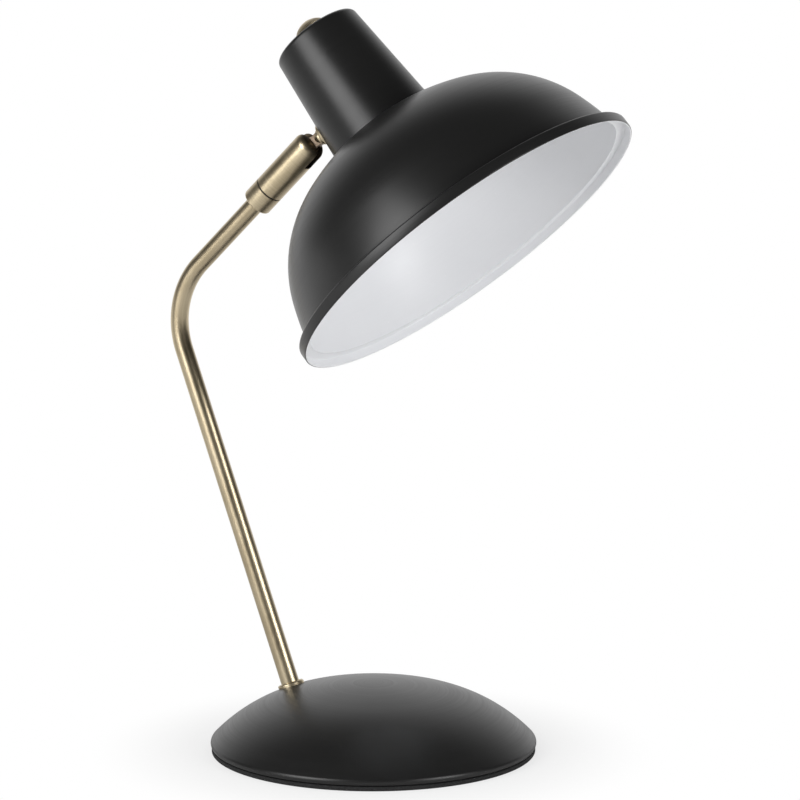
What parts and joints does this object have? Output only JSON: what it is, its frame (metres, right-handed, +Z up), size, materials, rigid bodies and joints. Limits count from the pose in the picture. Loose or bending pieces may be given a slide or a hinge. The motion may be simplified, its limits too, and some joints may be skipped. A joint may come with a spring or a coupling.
{
  "type": "desk lamp",
  "caption": "Desk lamp with a stepped dome shade on a tilting, swivelling knuckle, a bent brass arm and a round weighted dome base.",
  "frame": {"origin": "centre of the underside of the foot pad, on the table", "axes": "+Z up; the arm, the hinge and the shade's axis lie in the XZ plane, the shade reaches towards +X"},
  "size_m": [0.2535, 0.2, 0.3826],
  "materials": {
    "black_coat": "satin powder coat, white inside the shade",
    "aged_brass": "fine brushed, antique tone",
    "zinc_steel": "zinc plated",
    "grey_iron": "as cast",
    "black_foam": "matt",
    "black_plastic": "matt moulding"
  },
  "bodies": {
    "root": {"foot_pad": "black_foam", "base_weight": "grey_iron", "base_dome": "black_coat", "clamp_stud": "zinc_steel", "stud_washer": "zinc_steel", "stud_nut": "zinc_steel", "cord_grommet": "black_foam", "arm_collar": "aged_brass", "arm_tube": "aged_brass", "arm_foot_washer": "zinc_steel", "arm_foot_nut": "zinc_steel", "arm_bush": "aged_brass", "swivel_sleeve": "aged_brass"},
    "knuckle": {"swivel_washer": "black_foam", "knuckle_fork": "aged_brass", "swivel_nut": "aged_brass", "swivel_stop_pin": "zinc_steel", "hinge_screw": "aged_brass", "hinge_washers": "zinc_steel"},
    "head": {"tilt_tongue": "aged_brass", "rosette_washer": "aged_brass", "saddle_washer": "zinc_steel", "tongue_nut": "zinc_steel", "neck_cup": "black_coat", "shade_dome": "black_coat", "lampholder_body": "black_plastic", "holder_cap": "black_plastic", "screw_shell": "aged_brass", "centre_contact": "aged_brass", "shade_ring": "black_plastic", "bushing_nut": "zinc_steel"},
    "knob": {"switch_shaft": "aged_brass", "switch_knob": "aged_brass"}
  },
  "joints": [
    {"name": "head_swivel", "type": "hinge", "parent": "root", "child": "knuckle", "pos_m": [-0.06147, 0, 0.28889], "axis": [0.7193, 0, 0.6947], "range_deg": [-165, 165]},
    {"name": "head_tilt", "type": "hinge", "parent": "knuckle", "child": "head", "pos_m": [-0.03938, 0, 0.31021], "axis": [0, 1, 0], "range_deg": [-90, 40]},
    {"name": "switch_turn", "type": "hinge", "parent": "head", "child": "knob", "pos_m": [-0.0345, 0, 0.36908], "axis": [-0.66, 0, 0.7513], "continuous": true}
  ]
}
